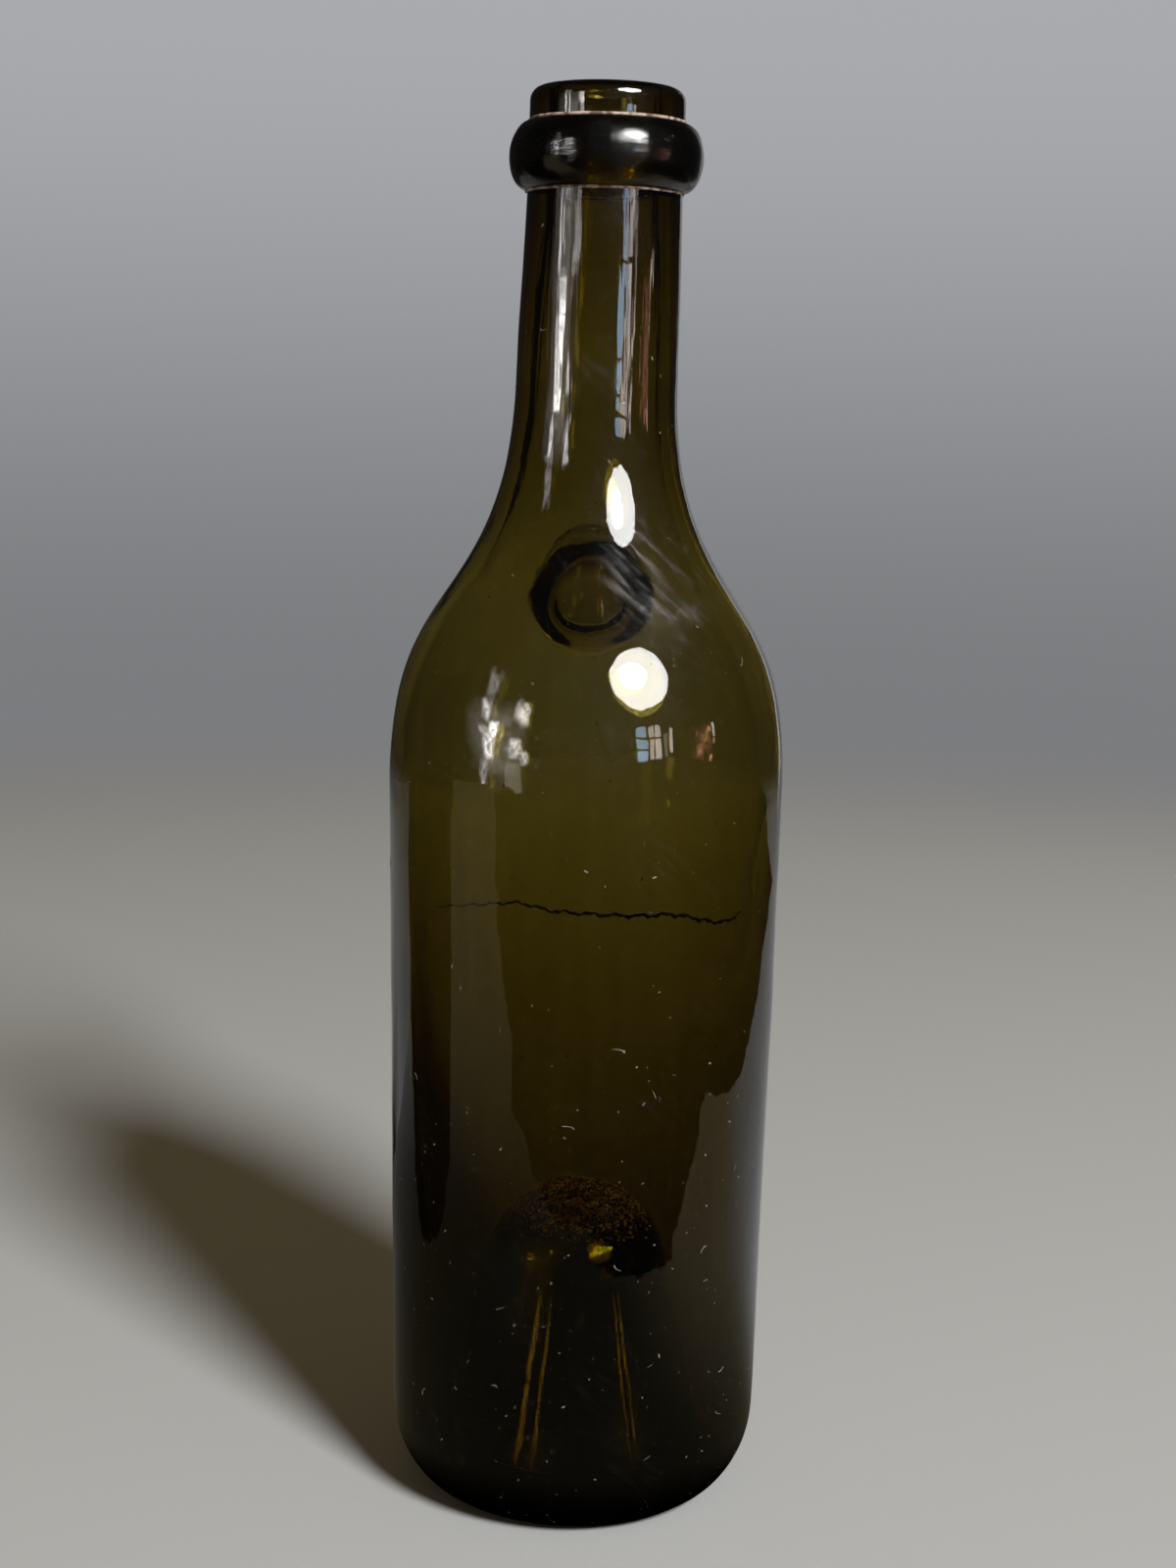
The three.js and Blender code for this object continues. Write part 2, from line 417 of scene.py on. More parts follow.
def makeRipples(noises, drawn):
    tree, given, place = newGroup("blownRipples", noises, ["Height"])
    fields = {label: noiseField(tree, place, **noise) for label, noise in noises.items()}
    upNeck = smoothMask(tree, separate(tree, place)["Z"], *drawn["edges"])
    neck = timesPlus(tree, upNeck, drawn["more"], drawn["least"])
    fields["Drawn Lines"] = times(tree, fields["Drawn Lines"], neck)
    height = 0.0
    for label, field in fields.items():
        height = timesPlus(tree, field, given[label], height)
    addNode(tree, "NodeGroupOutput", {"Height": height})
    return tree


# Handling: smears that blur the gloss, and a thin uneven film of dirt
handled = dict(
    place=(0.0175, -0.025, 0.201), outer=0.02, core=0.003, lean=-0.7, everywhere=0.014,
    patches=0.2, duller=0.02,
    patch=dict(scale=55, stretch=(1, 1, 0.8), detail=3.0, edges=(0.5, 0.72)),
    strand=dict(scale=760, stretch=(0.16, 0.4, 1), detail=5.0, edges=(0.46, 0.8)),
    film=dict(scale=240, stretch=(1, 1, 0.07), detail=4.0, edges=(0.3, 0.7)),
)


def makeHandling(values):
    tree, given, place = newGroup("handledGlass", ["Base Roughness", "Smears"], ["Roughness", "Haze", "Film"])
    patches = noiseMask(tree, place, **values["patch"])
    lean = {"Vector": place, "Angle": values["lean"]}
    leaning = addNode(tree, "ShaderNodeVectorRotate", lean, rotation_type="Y_AXIS")
    strands = noiseMask(tree, leaning.outputs[0], **values["strand"])
    near = smoothMask(tree, distanceFrom(tree, place, values["place"]), values["outer"], values["core"])
    share = maths(tree, "MAXIMUM", times(tree, patches, values["patches"]), near)
    smears = timesPlus(tree, strands, share, values["everywhere"])
    addNode(tree, "NodeGroupOutput", {
        "Roughness": timesPlus(tree, patches, values["duller"], given["Base Roughness"]),
        "Haze": times(tree, smears, given["Smears"]),
        "Film": noiseMask(tree, place, **values["film"]),
    })
    return tree


ripples, handling = makeRipples(rippleNoise, drawnNeck), makeHandling(handled)


# Glass: a pale surface over a plain absorbing volume, so that thick places go dark by themselves
def makeGlass(name, values, grain=None):
    material, tree, shader = newPaint(name)
    depth = {"Color": (*values["depthColour"], 1), "Density": values["density"]}
    volume = addNode(tree, "ShaderNodeVolumeAbsorption", depth)
    tree.links.new(volume.outputs[0], tree.nodes["Material Output"].inputs["Volume"])
    waves = addNode(tree, "ShaderNodeGroup", values["ripples"], node_tree=ripples)
    worn = {"Base Roughness": values["roughness"], "Smears": values["smears"]}
    skin = addNode(tree, "ShaderNodeGroup", worn, node_tree=handling)
    looks = [skin.outputs["Roughness"], waves.outputs["Height"], skin.outputs["Haze"]]
    if grain:
        looks = [maths(tree, "ADD", look, more) for look, more in zip(looks, makeGrain(tree, grain))]
    roughness, height, haze = looks
    feedInputs(tree, shader, {
        "Base Color": mixColour(tree, skin.outputs["Film"], values["filmTint"], values["tint"]),
        "IOR": values["ior"], "Transmission Weight": 1, "Roughness": roughness, "Coat Weight": haze,
        "Coat Roughness": values["smearRoughness"], "Coat IOR": values["smearIor"],
        "Normal": bumped(tree, height, 1),
    })
    return material


# The top of the punt is rough and gritty from the sand on the iron that held the bottle.
# Rises count from the dome's middle, and reaches from its radius.
puntGrain = dict(
    grit=dict(scale=1500, detail=3.0), least=0.1, spread=0.3, height=0.00002,
    gritRise=(0.009, 0.013), gritReach=(0.003, 0.001),
    grains=dict(scale=3000, detail=3.0, edges=(0.4, 0.7)), cloud=0.95,
    cloudRise=(0.008, 0.015), cloudReach=(0.008, 0.007),
)


def makeGrain(tree, values):
    place = objectPlace(tree)
    apart = distanceFrom(tree, place, (0, 0, domeCentre))
    level = separate(tree, place)["Z"]

    def domeMask(rise, reach):
        above = smoothMask(tree, level, domeCentre + rise[0], domeCentre + rise[1])
        within = smoothMask(tree, apart, bottle["puntDome"] + reach[0], bottle["puntDome"] + reach[1])
        return times(tree, above, within)

    grit = noiseField(tree, place, **values["grit"])
    gritty = domeMask(values["gritRise"], values["gritReach"])
    coarse = timesPlus(tree, grit, values["spread"], values["least"])
    lumps = times(tree, times(tree, grit, gritty), values["height"])
    grains = times(tree, noiseMask(tree, place, **values["grains"]), values["cloud"])
    cloudy = domeMask(values["cloudRise"], values["cloudReach"])
    return times(tree, gritty, coarse), lumps, times(tree, cloudy, grains)


bottleGlass = dict(
    tint=(0.965, 0.955, 0.9), filmTint=(0.9, 0.86, 0.7), roughness=0.012, ior=1.52,
    depthColour=(0.626, 0.569, 0.143), density=690, smears=0.9, smearRoughness=0.5, smearIor=1.9,
    ripples={"Drawn Lines": 0.00009, "Broad Lines": 0.000032, "Peel": 0.00001},
)
ringGlass = bottleGlass | dict(
    roughness=0.15, density=2100, ripples={"Round Marks": 0.0001, "Peel": 0.00004},
)
sealGlass = bottleGlass | dict(ripples={"Peel": 0.00001})
bottleMaterial = makeGlass("darkOliveGlass", bottleGlass, puntGrain)
stringMaterial = makeGlass("stringRimGlass", ringGlass)
sealMaterial = makeGlass("sealGlass", sealGlass)

# The body's waves die down where the ring sits on it
calm = dict(reach=0.007, fade=0.01, least=0.05, more=0.95)
stringMiddle = (stringTop + stringBottom) / 2


def clamped(value):
    return min(1, max(0, value))


def bodyWaves(outline):
    beyond = [abs(level - stringMiddle) - calm["reach"] for radius, level in outline]
    return [calm["least"] + calm["more"] * clamped(away / calm["fade"]) for away in beyond]


outer = outerPoints()
outside, inside = joined(undersidePoints(), outer), insidePoints()
bodyOutline = joined(outside, inside)
body = turnPiece("bottle_body_glass", bodyOutline, bodyWaves(bodyOutline), len(outside), bottleMaterial)
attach(body, "root")
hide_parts("bottle_body")
print("bottle body turned:", len(body.data.polygons), "faces")

# The ring and the seal dip a hair into the body, as melted glass does, so that no air shows between
stringRim = dict(
    sink=0.00006, calm=0.0003, fade=0.002, beadSteps=40, boreSteps=12,
    waves=dict(wave=0.00026, waveSize=0.014, fineWave=0.00007),
)


def stringPoints(values):
    bore = bottle["lipRadius"] - values["sink"]
    bulge = bottle["stringBulge"] + values["sink"]
    half = bottle["stringHeight"] / 2
    bead = ovalPoints((bore, stringMiddle), bulge, half, -quarter, quarter, values["beadSteps"])
    return joined(bead, linePoints(bead[-1], bead[0], values["boreSteps"]))


def stringWaves(values, outline):
    start = bottle["lipRadius"] + values["calm"]
    return [clamped((radius - start) / values["fade"]) for radius, level in outline]


ringOutline = stringPoints(stringRim)
ring = turnPiece(
    "string_rim_glass", ringOutline, stringWaves(stringRim, ringOutline), stringRim["beadSteps"] + 1,
    stringMaterial, **stringRim["waves"],
)
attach(ring, "root")
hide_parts("string_rim")
print("string rim laid")


# Old dirt in the two creases beside the ring
crust = dict(
    reach=0.0003, tall=0.00036, off=0.00015, steps=12,
    waves=dict(wave=0.0002, waveSize=0.007, fineWave=0.00012),
    noise=dict(scale=700, detail=3.0), edges=(0.38, 0.62), dark=(0.1, 0.06, 0.04), pale=(0.45, 0.34, 0.27),
    roughness=0.95, smoother=-0.2, bump=0.0001,
)


def makeCrustMaterial(values):
    material, tree, shader = newPaint("dryDirt")
    spots = noiseField(tree, objectPlace(tree), **values["noise"])
    mask = smoothMask(tree, spots, *values["edges"])
    feedInputs(tree, shader, {
        "Base Color": mixColour(tree, mask, values["dark"], values["pale"]),
        "Roughness": timesPlus(tree, spots, values["smoother"], values["roughness"]),
        "Normal": bumped(tree, spots, values["bump"]),
    })
    return material


dirtMaterial = makeCrustMaterial(crust)
creases = (("upper", stringTop + crust["off"], 1.3), ("lower", stringBottom - crust["off"], 8.1))
for name, level, seed in creases:
    middle = (bottle["lipRadius"], level)
    outline = ovalPoints(middle, crust["reach"], crust["tall"], -2 * quarter, 2 * quarter, crust["steps"])
    count = len(outline)
    waves = crust["waves"] | dict(seed=seed)
    piece = turnPiece("crease_dirt_" + name, outline, [1] * count, count, dirtMaterial, **waves)
    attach(piece, "root")
print("dirt laid in the creases")


# Shoulder seal: a blob of glass pressed with a blank round stamp, laid on the glass that is really there
seal = dict(
    stampRise=0.034, width=0.03, length=0.035, thickness=0.0034, edge=0.0003,
    stampRadius=0.008, stampDepth=0.0015, stampRim=0.002, stampOffset=0.0046,
    slopeFrom=0.86, sink=0.00004, sag=0.00009, rounder=0.8,
    turns=96, frontRings=24, edgeRings=(0.35, 0.7), edgeSwell=0.35, backRings=18, rayStart=0.01,
    wobbles=((3, 0.012, 0.8), (5, 0.009, 2.1)),
)


def radiusAt(level):
    for low, high in zip(outer, outer[1:]):
        if low[1] <= level <= high[1] and high[1] > low[1]:
            return low[0] + (high[0] - low[0]) * (level - low[1]) / (high[1] - low[1])
    return outer[-1][0]


stampLevel = bottle["shoulderStart"] + seal["stampRise"]
stampCentre = Vector((0, radiusAt(stampLevel), stampLevel))
stampTop, stampFoot = stampLevel + seal["stampRadius"], stampLevel - seal["stampRadius"]
upSlope = Vector((0, radiusAt(stampTop) - radiusAt(stampFoot), 2 * seal["stampRadius"])).normalized()
across = Vector((-1, 0, 0))
outward = across.cross(upSlope)


def blobReach(angle):
    right = math.cos(angle) / (seal["width"] / 2)
    up = math.sin(angle) / (seal["length"] / 2)
    offset = seal["stampOffset"] / (seal["length"] / 2)
    spread = right * right + up * up
    plain = (up * offset + math.sqrt(up * up * offset * offset + spread * (1 - offset * offset))) / spread
    return plain * (1 + sum(size * math.sin(waves * angle + shift) for waves, size, shift in seal["wobbles"]))


def easeIn(share):
    return share * share * (3 - 2 * share)


def pieceFrom(mesh, name, material):
    data = bpy.data.meshes.new(name)
    mesh.to_mesh(data)
    mesh.free()
    data.materials.append(material)
    return addPiece(name, data)


def makeSeal(values, bodyMesh):
    faces = [tuple(face.vertices) for face in bodyMesh.polygons]
    skin = BVHTree.FromPolygons([vertex.co for vertex in bodyMesh.vertices], faces)
    floor = values["thickness"] - values["stampDepth"]
    crest = values["stampRadius"] + values["stampRim"]
    slopeFoot = values["stampRadius"] * values["slopeFrom"]

    def onPlane(angle, distance):
        return stampCentre + across * (distance * math.cos(angle)) + upSlope * (distance * math.sin(angle))

    def glassBehind(angle, distance):
        start = onPlane(angle, distance) + outward * values["rayStart"]
        return values["rayStart"] - skin.ray_cast(start, -outward)[3]

    def frontLift(angle, distance, behind):
        if distance <= crest:
            rise = easeIn(clamped((distance - slopeFoot) / (crest - slopeFoot)))
            return floor + values["stampDepth"] * rise + values["sag"] * (distance / crest) ** 2
        share = (distance - crest) / (blobReach(angle) - crest)
        left = 1 - values["rounder"] * easeIn(share) - (1 - values["rounder"]) * share * share
        return left * (values["thickness"] + values["sag"]) + (1 - left) * (behind + values["edge"])

    mesh = bmesh.new()
    turns = values["turns"]

    def addRing(distanceAt, liftAt):
        corners = []
        for index in range(turns):
            angle = 2 * math.pi * index / turns
            distance = distanceAt(angle)
            lift = liftAt(angle, distance, glassBehind(angle, distance))
            corners.append(mesh.verts.new(onPlane(angle, distance) + outward * lift))
        return corners

    # Rings of corners from the stamp's middle out over the front, round the edge and back in behind
    rings = []
    half = values["frontRings"] // 2
    for step in range(1, half + 1):
        rings.append(addRing(lambda angle: crest * step / half, frontLift))
    for step in range(1, half + 1):
        share = math.sin(quarter * step / half)
        rings.append(addRing(lambda angle: crest + (blobReach(angle) - crest) * share, frontLift))
    lastFront = rings[-1]
    for turn in values["edgeRings"]:
        swell = values["edge"] * values["edgeSwell"] * math.sin(math.pi * turn)
        lift = values["edge"] * (1 - turn) - values["sink"] * turn
        rings.append(addRing(
            lambda angle: blobReach(angle) + swell,
            lambda angle, distance, behind: behind + lift,
        ))
    firstBack = len(rings)
    for step in range(values["backRings"], 0, -1):
        share = step / values["backRings"]
        rings.append(addRing(
            lambda angle: blobReach(angle) * share,
            lambda angle, distance, behind: behind - values["sink"],
        ))
    front = mesh.verts.new(onPlane(0, 0) + outward * floor)
    back = mesh.verts.new(onPlane(0, 0) + outward * (glassBehind(0, 0) - values["sink"]))
    for index in range(turns):
        after = (index + 1) % turns
        mesh.faces.new((front, rings[0][index], rings[0][after]))
        mesh.faces.new((back, rings[-1][after], rings[-1][index]))
        for near, far in zip(rings, rings[1:]):
            mesh.faces.new((near[index], far[index], far[after], near[after]))
    for face in mesh.faces:
        face.smooth = True
    crisp = {*lastFront, *rings[firstBack]}
    for edge in mesh.edges:
        edge.smooth = not crisp.issuperset(edge.verts)
    return pieceFrom(mesh, "shoulder_seal_glass", sealMaterial)


sealPiece = makeSeal(seal, body.data)
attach(sealPiece, "root")
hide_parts("shoulder_seal")
print("shoulder seal pressed")


# Geometry Nodes scatter: small flecks lying on a skin, more of them towards one height
fleckShape = dict(fewLarge=2.5, hairSteps=6, hairSweep=1.8, hairSides=4, hairThick=0.07)


def buildScatter(values):
    tree, given = newGeometryTree("scatteredFlecks", {
        "Geometry": "Geometry", "Density": "Float", "Seed": "Int", "Smallest": "Float", "Largest": "Float",
        "Longer": "Float", "Flatter": "Float", "Sunk": "Float", "Few At": "Float", "Many At": "Float",
        "Fewest": "Float", "Bent": "Bool", "Material": "Material",
    })

    def chance(lowest, highest, shift):
        node = addNode(tree, "FunctionNodeRandomValue", data_type="FLOAT")
        feedInOrder(tree, [socket for socket in node.inputs if socket.type == "VALUE"], (lowest, highest))
        feed(tree, node.inputs["Seed"], maths(tree, "ADD", given["Seed"], shift))
        return next(socket for socket in node.outputs if socket.type == "VALUE")

    position = addNode(tree, "GeometryNodeInputPosition").outputs[0]
    level = addNode(tree, "ShaderNodeMapRange", {
        "Value": separate(tree, position)["Z"], "From Min": given["Few At"], "From Max": given["Many At"],
    })
    share = maths(tree, "MAXIMUM", level.outputs[0], given["Fewest"])
    density = times(tree, given["Density"], share)
    points = addNode(tree, "GeometryNodeDistributePointsOnFaces", {
        "Mesh": given["Geometry"], "Density": density, "Seed": given["Seed"],
    })
    down = {"Vector": points.outputs["Normal"], "Scale": times(tree, given["Sunk"], -1)}
    sunk = addNode(tree, "ShaderNodeVectorMath", down, operation="SCALE")
    placed = addNode(tree, "GeometryNodeSetPosition", {
        "Geometry": points.outputs["Points"], "Offset": sunk.outputs[0],
    })
    spin = {"Rotation": points.outputs["Rotation"], "Rotate By": combine(tree, Z=chance(0, 2 * math.pi, 1))}
    turn = addNode(tree, "FunctionNodeRotateRotation", spin, rotation_space="LOCAL")
    spread = maths(tree, "SUBTRACT", given["Largest"], given["Smallest"])
    draw = maths(tree, "POWER", chance(0, 1, 2), values["fewLarge"])
    size = timesPlus(tree, draw, spread, given["Smallest"])
    length = times(tree, size, chance(1.0, given["Longer"], 3))
    scale = combine(tree, X=length, Y=size, Z=times(tree, size, given["Flatter"]))

    fleck = addNode(tree, "GeometryNodeMeshIcoSphere", {"Radius": 1, "Subdivisions": 1})
    bend = {"Resolution": values["hairSteps"], "Radius": 1, "Sweep Angle": values["hairSweep"]}
    arc = addNode(tree, "GeometryNodeCurveArc", bend, mode="RADIUS")
    section = {"Resolution": values["hairSides"], "Radius": values["hairThick"]}
    thickness = addNode(tree, "GeometryNodeCurvePrimitiveCircle", section, mode="RADIUS")
    hair = addNode(tree, "GeometryNodeCurveToMesh", {
        "Curve": arc.outputs["Curve"], "Profile Curve": thickness.outputs["Curve"], "Fill Caps": True,
    })
    choice = {"Switch": given["Bent"], "False": fleck.outputs["Mesh"], "True": hair.outputs["Mesh"]}
    shape = addNode(tree, "GeometryNodeSwitch", choice, input_type="GEOMETRY")
    copies = addNode(tree, "GeometryNodeInstanceOnPoints", {
        "Points": placed.outputs[0], "Instance": shape.outputs[0],
        "Rotation": turn.outputs[0], "Scale": scale,
    })
    finishTree(tree, copies.outputs[0], given["Material"])
    return tree


fleckPaint = dict(noise=dict(scale=260, detail=3.0), edges=(0.35, 0.65), roughness=0.9, smoother=-0.15)


def makeFleckMaterial(name, pale, dark, shine=0.5):
    material, tree, shader = newPaint(name)
    spots = noiseMask(tree, objectPlace(tree), fleckPaint["edges"], **fleckPaint["noise"])
    feedInputs(tree, shader, {
        "Base Color": mixColour(tree, spots, dark, pale), "Specular IOR Level": shine,
        "Roughness": timesPlus(tree, spots, fleckPaint["smoother"], fleckPaint["roughness"]),
    })
    return material


flecks = dict(
    surface_dust=dict(pale=(0.2, 0.18, 0.13), dark=(0.07, 0.055, 0.035), inputs={
        "Density": 21000.0, "Seed": 5, "Smallest": 0.00005, "Largest": 0.0002, "Longer": 3.5, "Flatter": 0.2,
        "Sunk": 0.0, "Few At": 0.2, "Many At": 0.08, "Fewest": 0.25, "Bent": False,
    }),
    lint=dict(pale=(0.3, 0.29, 0.25), dark=(0.12, 0.11, 0.09), inputs={
        "Density": 2200.0, "Seed": 17, "Smallest": 0.00025, "Largest": 0.0011, "Longer": 2.5, "Flatter": 0.8,
        "Sunk": 0.0, "Few At": 0.2, "Many At": 0.09, "Fewest": 0.2, "Bent": True,
    }),
    hair_scratches=dict(pale=(0.24, 0.22, 0.18), dark=(0.1, 0.09, 0.07), inputs={
        "Density": 900.0, "Seed": 11, "Smallest": 0.00003, "Largest": 0.00006, "Longer": 24.0, "Flatter": 0.3,
        "Sunk": 0.0, "Few At": 0.2, "Many At": 0.1, "Fewest": 0.3, "Bent": False,
    }),
    seed_bubbles=dict(pale=(0.4, 0.4, 0.27), dark=(0.2, 0.2, 0.1), inputs={
        "Density": 2400.0, "Seed": 23, "Smallest": 0.00008, "Largest": 0.0003, "Longer": 1.4, "Flatter": 0.8,
        "Sunk": 0.0006, "Few At": 0.05, "Many At": 0.2, "Fewest": 0.3, "Bent": False,
    }),
)
residue = dict(pale=(0.95, 0.66, 0.3), dark=(0.45, 0.27, 0.1), inputs={
    "Density": 4200000.0, "Seed": 3, "Smallest": 0.00008, "Largest": 0.0004, "Longer": 1.6, "Flatter": 0.4,
    "Sunk": 0.0, "Few At": domeCentre + 0.0115, "Many At": domeCentre + 0.015, "Fewest": 0.0, "Bent": False,
})
# The lowest rows of the heel and the rounded lip stay clean
cleanFoot = 4
scatterTree = buildScatter(fleckShape)


def scatter(name, outline, values):
    skin = turnPiece(name + "_skin", outline, bodyWaves(outline), len(outline), bottleMaterial)
    material = makeFleckMaterial(name + "Paint", values["pale"], values["dark"])
    piece = runTree(scatterTree, name, skin.data, values["inputs"] | {"Material": material})
    bpy.data.objects.remove(skin)
    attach(piece, "root")
    print(name, len(piece.data.polygons), "faces")


for name, values in flecks.items():
    scatter(name, outer[cleanFoot:-fineness["lip"]], values)
scatter("punt_residue", inside[-fineness["innerDome"] - 1:], residue)


# A dark crease runs across the front of the body: (turn, height) from its left end to its right
crease = dict(
    path=[(-47, 0.134), (-30, 0.1363), (-18, 0.1375), (-10, 0.1365), (0, 0.1361), (16, 0.1356), (26, 0.1354),
          (39, 0.1331), (45, 0.1328), (51, 0.1341)],
    steps=18, deep=0.00045, thick=0.00006, tall=0.00044, startTall=0.45, endTall=0.05, blunt=0.3,
    wander=0.00024, wanders=((0.9, 1, 0), (2.3, 0.6, 1.1)), swell=0.45, swells=((0.37, 0.9), (1.9, 0)),
    pale=(0.008, 0.005, 0.002), dark=(0.002, 0.001, 0.001),
)


def creaseRoute(values):
    path = values["path"]
    spots = []
    for index, (turn, level) in enumerate(path[:-1]):
        before, after = path[max(index - 1, 0)], path[index + 1]
        last = path[min(index + 2, len(path) - 1)]
        third = (after[0] - turn) / 3
        leave = (after[1] - before[1]) / (after[0] - before[0])
        arrive = (last[1] - level) / (last[0] - turn)
        leaving = (turn + third, level + leave * third)
        arriving = (after[0] - third, after[1] - arrive * third)
        spots.extend(bendPoints([(turn, level), leaving, arriving, after], values["steps"])[:-1])
    return spots + [path[-1]]


def makeCrease(values):
    mesh = bmesh.new()
    rows = []
    spots = creaseRoute(values)
    for index, (turn, level) in enumerate(spots):
        share = index / (len(spots) - 1)
        wander = sum(size * math.sin(turn * rate + shift) for rate, size, shift in values["wanders"])
        level += values["wander"] * wander
        fade = math.sin(math.pi * share) ** values["blunt"] if 0 < share < 1 else values["endTall"]
        fade *= values["startTall"] + (1 - values["startTall"]) * share
        swell = math.prod(math.sin(turn * rate + shift) for rate, shift in values["swells"])
        tall = values["tall"] * fade * (1 + values["swell"] * swell)
        radius = radiusAt(level) - values["deep"]
        turn = math.radians(turn)
        row = []
        for out, up in ((1, 0), (0, 1), (-1, 0), (0, -1)):
            reach = radius + out * values["thick"]
            row.append(mesh.verts.new((reach * math.sin(turn), -reach * math.cos(turn), level + up * tall)))
        rows.append(row)
    for row, after in zip(rows, rows[1:]):
        for side in range(4):
            mesh.faces.new((row[side], after[side], after[(side + 1) % 4], row[(side + 1) % 4]))
    mesh.faces.new(rows[0])
    mesh.faces.new(rows[-1][::-1])
    bmesh.ops.recalc_face_normals(mesh, faces=mesh.faces)
    paint = makeFleckMaterial("creasePaint", values["pale"], values["dark"], shine=0)
    return pieceFrom(mesh, "body_crease", paint)


creasePiece = makeCrease(crease)
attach(creasePiece, "root")
print("crease laid in the wall")


# Stage: pale floor fading into a pale room, and soft lamps
room = dict(
    floor=(0.43, 0.432, 0.428), floorRoughness=0.9, fadeStart=0.7, fadeEnd=1.3, floorMargin=1.05,
    wallTop=(0.40, 0.405, 0.425), wallLow=(0.20, 0.203, 0.212), wallRise=(-0.12, 0.17),
    wallTurn=0.12, wallBehind=(0.92, 0.985), wallWider=0.3, deepFrom=1.5,
    fill=(0.125, 0.1, 0.055), dark=(0.02, 0.018, 0.017),
)


def flatPiece(name, corners, material):
    mesh = bpy.data.meshes.new(name)
    mesh.from_pydata(corners, [], [tuple(range(len(corners)))])
    mesh.materials.append(material)
    piece = addPiece(name, mesh)
    return piece


def fourCorners(half, back, level=0):
    return [(-half, -half, level), (half, -half, level), (half, back, level), (-half, back, level)]


def newMaterial(name):
    material, tree = newPaint(name)[:2]
    tree.nodes.clear()
    return material, tree, addNode(tree, "ShaderNodeOutputMaterial")


def addClear(tree):
    return addNode(tree, "ShaderNodeBsdfTransparent").outputs[0]


def addGlow(tree, colour, strength):
    return addNode(tree, "ShaderNodeEmission", {"Color": colour, "Strength": strength}).outputs[0]


def mixShaders(tree, output, share, first, second):
    mix = addNode(tree, "ShaderNodeMixShader")
    feedInOrder(tree, mix.inputs, (share, first, second))
    tree.links.new(mix.outputs[0], output.inputs["Surface"])


def makeFloor(values):
    material, tree, output = newMaterial("floorPaint")
    shader = addNode(tree, "ShaderNodeBsdfPrincipled", {
        "Base Color": (*values["floor"], 1), "Roughness": values["floorRoughness"], "Specular IOR Level": 0,
    })
    away = smoothMask(tree, distanceFrom(tree, objectPlace(tree)), values["fadeStart"], values["fadeEnd"])
    mixShaders(tree, output, away, shader.outputs[0], addClear(tree))
    half = values["fadeEnd"] * values["floorMargin"]
    flatPiece("floor", fourCorners(half, half), material)


makeFloor(room)

# What only reflections in the glass see: glows on cards, which paint reflections, and painted shade on the
# floor far in front
allDepths = 99


def reflectionShader(tree, output, glow, fewest=0, most=allDepths, where=1):
    path = addNode(tree, "ShaderNodeLightPath").outputs
    seen = times(tree, maths(tree, "GREATER_THAN", path["Glossy Depth"], 0.5), where)
    for operation, limit in (("GREATER_THAN", fewest - 0.5), ("LESS_THAN", most + 0.5)):
        seen = times(tree, seen, maths(tree, operation, path["Transmission Depth"], limit))
    mixShaders(tree, output, seen, addClear(tree), glow)


def mirroredCard(name, corners, material):
    material.cycles.emission_sampling = "NONE"
    card = flatPiece(name, corners, material)
    card.visible_camera = False
    card.visible_diffuse = False
    card.visible_shadow = False
    card.visible_volume_scatter = False
    return card


def plainGlow(name, colour, strength, most=allDepths):
    material, tree, output = newMaterial(name)
    reflectionShader(tree, output, addGlow(tree, (*colour, 1), strength), most=most)
    return material


# Painted shade: outlines on the floor of the parts that lie in deep shade, seen from above, with uneven edges
shadeOutlines = dict(
    front=[(0.41, 0.57), (0.41, 0.37), (0.37, 0.205), (0.335, 0.11), (0.34, 0.015), (0.33, -0.07),
           (0.3, -0.095), (0.27, -0.085), (0.175, -0.12), (0.155, -0.11), (0.04, -0.185), (0.03, -0.2),
           (0.04, -0.215), (0.005, -0.23), (-0.085, -0.235), (-0.155, -0.26), (-0.21, -0.26), (-0.225, -0.29),
           (-0.29, -0.31), (-0.395, -0.37), (-0.51, -0.41), (-0.9, -0.72), (-0.9, -1.4), (1.4, -1.4),
           (1.4, 0.57)],
    left=[(-0.19, 0.005), (-0.195, 0.04), (-0.22, 0.08), (-0.41, 0.23), (-1.3, 0.8), (-1.3, -0.2),
          (-0.315, -0.065), (-0.25, -0.05), (-0.205, -0.025)],
)
# Uneven edges of the painted shade outlines
shadeEdges = dict(step=0.009, reach=0.0018, most=40, level=0.0005, waves=((331, 97, 0, 1), (83, -419, 1.7, 0.7)))
# Painted shade: a near-black card that only reflections in the glass see
floorShadeMaterial = plainGlow("paintedFarFloorShade", (1, 0.85, 0.6), 0.01)


def ragged(corners, values):
    points = []
    for index, corner in enumerate(corners):
        after = corners[(index + 1) % len(corners)]
        length = math.dist(corner, after)
        count = min(values["most"], max(1, round(length / values["step"])))
        side = ((after[1] - corner[1]) / length, (corner[0] - after[0]) / length)
        for part in range(count):
            share = part / count
            x = corner[0] + (after[0] - corner[0]) * share
            y = corner[1] + (after[1] - corner[1]) * share
            push = sum(size * math.sin(x * a + y * b + shift) for a, b, shift, size in values["waves"])
            push *= values["reach"] if part else 0
            points.append((x + side[0] * push, y + side[1] * push))
    return points


# In front of the bottle the floor lies in the shade of the room: darkest near, brighter right and far out
shade = dict(
    near=0.07, bright=0.36, farShare=0.75, toRight=(0.05, 0.2), farOut=(0.2, 0.42), offFoot=(0.034, 0.062),
    toBack=(0.0, 0.15), nearColour=(1, 0.86, 0.5), farColour=(1, 0.97, 0.9),
    inFront=(0.12, 0.02), leftward=1.5, half=1.3, backEdge=0.2, level=0.0003,
)


